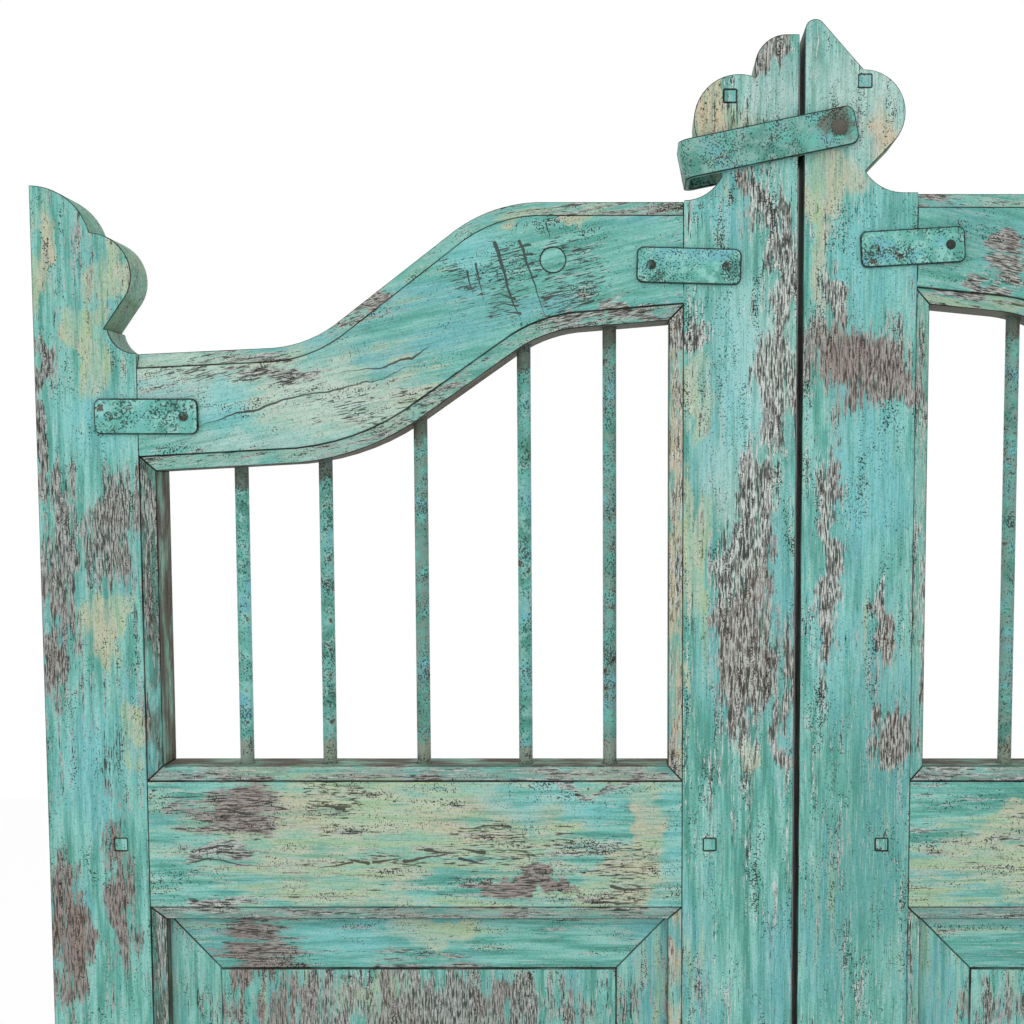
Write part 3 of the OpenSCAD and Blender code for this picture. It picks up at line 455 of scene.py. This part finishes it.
def pitted_iron(name, seed, pits=0.0, painted=1.0, rusty_ends=None, dulled=0.0, bare=()):
    """Painted wrought iron with dark pits in drifts, as two finishes: the faces, and their edges darkened
    by soiling and by painted shade.

    The share painted keeps rust away, and dulled greys the paint. Bare are ovals rubbed to rust. A bar's
    rusty_ends are its lower and upper end and how far the dust and the rust reach from them."""
    finishes = []
    for edge in (False, True):
        material, shader, place, _ = new_material(name + (" edge" if edge else ""))
        moved = place.vector("ADD", (seed * 0.31, seed * 0.17, seed * 0.53))
        drift = moved.noise(45, 2)
        fine = moved.noise(620, 2, 0.6)
        blotch = moved.noise(110, 3)
        hue = moved.noise(26, 2)
        pitted = (fine + 0.45 * (drift - 0.5) + pits).step(0.60, 0.66)
        rusted = (blotch + 0.3 * (drift - 0.5) - 0.22 * painted).step(0.42, 0.5)
        if bare:
            rusted = rusted.most((0.5 * spots(place, bare) + blotch).step(0.7, 1.0) * 0.7)
        coat = hue.step(0.35, 0.52).mix(deep_coat, main_coat)
        coat = hue.step(0.52, 0.66).mix(coat, blue_coat)
        coat = (blotch.step(0.46, 0.62) * 0.8).mix(coat, light_coat)
        if dulled:
            coat = (dulled * blotch.step(0.3, 0.6)).mix(coat, dull_coat)
        if rusty_ends:
            low, high, length = rusty_ends
            height = place.add("SeparateXYZ", {}, {0: place}, 2)
            foot = 1 - (height - low).step(0, length)
            head = (height - high).step(-length, 0)
            rusted = rusted.most((head + blotch - 0.5).step(0.4, 0.6) * 0.8)
            coat = ((foot + blotch - 0.5).step(0.3, 0.6) * 0.75).mix(coat, dust)
        colour = (rusted * 0.9).mix(coat, fine.mix(rust, soot_and_shade))
        colour = (pitted * 0.85).mix(colour, pit_colour)
        # painted shade and dirt: the strips of the eased edges are darkened
        if edge:
            colour = (0.6 + 0.6 * blotch).mix(colour, crevice)
        connect(colour, shader.inputs["Base Color"])
        connect(0.55 + 0.25 * rusted, shader.inputs["Roughness"])
        shader.inputs["Specular IOR Level"].default_value = 0.25
        relief = {"Strength": 0.6, "Distance": 0.0008, "Height": 0.6 * blotch - 0.8 * pitted}
        connect(place.add("Bump", {}, relief), shader.inputs["Normal"])
        finishes.append(material)
    return finishes


socket_depth = 0.025
end_stain = 0.04
dull_shares = (0.1, 0.25, 0.7, 0.2, 0.6)
for side, start in (("left", 4), ("right", 5)):
    for i, dulled in enumerate(dull_shares, 1):
        low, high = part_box(f"{side}_bar_{i}")
        ends = (low.z + socket_depth, high.z - socket_depth, end_stain)
        dress(f"{side}_bar_{i}", pitted_iron(f"{side} bar {i} paint", i * 2.3 + start, pits=0.04,
                                             rusty_ends=ends, dulled=dulled))


# Top rails: S-curved boards moulded on both long edges, tenoned into the stiles.
# The grain runs slantwise through the curve, and the pale first coat shows along the level outer run.
slant = math.radians(12)
sweep_weld = 0.0003
dress("left_top_rail", worn_timber(
    "left top rail paint", slant, 21,
    bare=[(-0.372, 1.098, 0.024, 0.010), (-0.180, 1.105, 0.056, 0.005), (-0.470, 1.046, 0.040, 0.006)],
    cream=[(-0.514, 1.050, 0.079, 0.015), (-0.411, 1.020, 0.073, 0.035), (-0.224, 1.188, 0.048, 0.008)],
    clean=[(-0.513, 1.002, 0.027, 0.028), (-0.313, 1.118, 0.056, 0.056)],
    blue=[(-0.513, 1.009, 0.024, 0.023), (-0.300, 1.158, 0.033, 0.026)],
    pale=[(-0.540, 1.040, 0.060, 0.030), (-0.420, 1.020, 0.070, 0.040), (-0.460, 0.975, 0.090, 0.012)],
    flecks=[(-0.267, 1.134, 0.018, 0.033), (-0.300, 1.127, 0.020, 0.018), (-0.209, 1.134, 0.031, 0.033),
            (-0.388, 1.013, 0.049, 0.018), (-0.520, 1.043, 0.060, 0.010)],
    cracks=[(-0.493, 1.012, -0.538, 0.997, 0.0008), (-0.493, 1.012, -0.340, 1.052, 0.0010),
            (-0.346, 1.057, -0.410, 1.046, 0.0008), (-0.346, 1.057, -0.329, 1.069, 0.0009),
            (-0.272, 1.161, -0.250, 1.094, 0.0017), (-0.250, 1.161, -0.228, 1.098, 0.0012),
            (-0.254, 1.114, -0.268, 1.118, 0.0010), (-0.252, 1.107, -0.266, 1.110, 0.0011),
            (-0.250, 1.099, -0.263, 1.102, 0.0011), (-0.241, 1.156, -0.256, 1.154, 0.0009),
            (-0.239, 1.149, -0.254, 1.147, 0.0010), (-0.237, 1.141, -0.251, 1.139, 0.0009),
            (-0.235, 1.131, -0.247, 1.129, 0.0008), (-0.296, 1.136, -0.290, 1.114, 0.0009),
            (-0.289, 1.143, -0.282, 1.112, 0.0009), (-0.231, 1.114, -0.203, 1.117, 0.0009),
            (-0.183, 1.110, -0.203, 1.104, 0.0009), (-0.226, 1.175, -0.223, 1.161, 0.0008)],
    bare_level=0.22, banding=0.5), weld=sweep_weld)
dress("right_top_rail", worn_timber(
    "right top rail paint", -slant, 22,
    bare=[(0.180, 1.149, 0.018, 0.017), (0.155, 1.129, 0.031, 0.006)],
    cream=[(0.150, 1.113, 0.049, 0.010)],
    deep=[(0.143, 1.164, 0.055, 0.020)],
    bare_level=0.24, banding=0.6), weld=sweep_weld)


# Pegs: square oak pegs driven through the tenons, two that plug old holes in the finials, and a round one.
# Their end grain has been painted over with the stiles, and a dark line of dirt and painted shade runs
# round each.
dirty_shaded_pegs = [(-0.063, 1.283, 0.02, 0.02), (-0.063, 0.62, 0.02, 0.02), (0.057, 0.62, 0.02, 0.02)]
for side, seed in (("left", 34), ("right", 35)):
    peg_paint = worn_timber(f"{side} peg paint", upright, seed, grime_and_shade=-0.45, grimy_and_shaded=dirty_shaded_pegs)
    dress(f"{side}_pegs", peg_paint)
dress("left_rail_plug", worn_timber("rail plug paint", slant, 37, bare_level=0.2, grime_and_shade=-0.2))


# Straps: flat iron plates nailed over the joints of the top rails, hand cut with rounded corners.
# Paint covers them, and the pitted iron shows through it in drifts of small dark pits.
strap_arris = 0.0014
nail_arris = 0.0004
straps = ("left_outer", "left_inner", "right_inner", "right_outer")
for seed, strap in enumerate(straps, 40):
    strap_paint = pitted_iron(strap.replace("_", " ") + " strap paint", seed, pits=0.05)
    dress(f"{strap}_strap", strap_paint, arris=strap_arris)
for side, seed in (("left", 54), ("right", 55)):
    nail_paint = pitted_iron(f"{side} nail paint", seed, pits=0.2, painted=0.0)
    dress(f"{side}_strap_nails", nail_paint, arris=nail_arris)


# Hinges: butt hinges let into the outer back edges, with their pins and screws.
# They were never painted, and their iron has rusted brown all over, with dark pits.
hinge_arris = 0.0003
screw_arris = 0.0002
for side, seed in (("left", 64), ("right", 65)):
    bare_iron = pitted_iron(f"{side} bare iron", seed, painted=-0.6)
    for height in ("upper", "lower"):
        for part in ("hinge_plate", "post_plate", "hinge_pin"):
            dress(f"{side}_{height}_{part}", bare_iron, arris=hinge_arris)
    dress(f"{side}_hinge_screws", bare_iron, arris=screw_arris)


# Throw-over loop: a strap bent to a long U that drops over both meeting stiles and holds the leaves shut.
# It turns on a bolt through the right stile, and its paint has rubbed off round the bolt.
loop_arris = 0.0012
bolt_arris = 0.0005
round_bolt = [(0.032, 1.262, 0.020, 0.014)]
loop_paint = pitted_iron("loop paint", 71, pits=0.05, dulled=0.35, bare=round_bolt)
dress("throw_loop", loop_paint, arris=loop_arris)
dress("loop_bolt", pitted_iron("bolt paint", 72, painted=-1.4), arris=bolt_arris)
dress("loop_nut", pitted_iron("nut paint", 73, painted=-1.4), arris=bolt_arris)


# Floor: a plain pale floor under the doors, which isn't part of them.
# It ends behind the doors below the sight line, so that white studio shows between the bars.
floor_half = 3.0
floor_mesh = bpy.data.meshes.new("floor")
corners = [(-floor_half, -floor_half, 0), (floor_half, -floor_half, 0), (floor_half, floor_half, 0),
           (-floor_half, floor_half, 0)]
floor_mesh.from_pydata(corners, [], [(0, 1, 2, 3)])
floor = bpy.data.objects.new("floor", floor_mesh)
bpy.context.scene.collection.objects.link(floor)
floor_white = (0.97, 0.97, 0.97, 1)
floor_paint = bpy.data.materials.new("floor paint")
floor_paint.use_nodes = True
floor_shader = floor_paint.node_tree.nodes["Principled BSDF"]
floor_shader.inputs["Base Color"].default_value = floor_white
floor_shader.inputs["Roughness"].default_value = 0.9
floor_mesh.materials.append(floor_paint)


# Light: a white studio all round, with one broad soft lamp high in front on the left.
# The photo's light is as soft and even, and leaves only faint shade under the mouldings.
world = bpy.data.worlds.new("studio")
world.use_nodes = True
studio_white = world.node_tree.nodes["Background"]
studio_white.inputs["Color"].default_value = (1, 1, 1, 1)
studio_white.inputs["Strength"].default_value = 1.0
bpy.context.scene.world = world
lamp_data = bpy.data.lights.new("soft lamp", "AREA")
lamp_data.size = 1.6
lamp_data.energy = 12
lamp = bpy.data.objects.new("soft lamp", lamp_data)
lamp.location = (-1.4, -2.0, 3.0)
lamp_tip = math.radians(45)
lamp_turn = math.radians(-32)
lamp.rotation_euler = (lamp_tip, 0, lamp_turn)
bpy.context.scene.collection.objects.link(lamp)
bpy.context.scene.view_settings.view_transform = "Standard"


# Camera: level with the bars, a little left of the meeting edges and tipped slightly down.
# The picture is framed to the left of the lens axis and above it, so the lens is shifted.
camera_data = bpy.data.cameras.new("camera")
camera_data.sensor_width = 36
camera_data.lens = 48.87
camera_data.shift_x = -0.1202
camera_data.shift_y = 0.086
camera = bpy.data.objects.new("camera", camera_data)
camera.location = (-0.1467, -1.273, 0.9345)
camera_tip = math.radians(85.8)
camera.rotation_euler = (camera_tip, 0, 0)
bpy.context.scene.collection.objects.link(camera)
bpy.context.scene.camera = camera
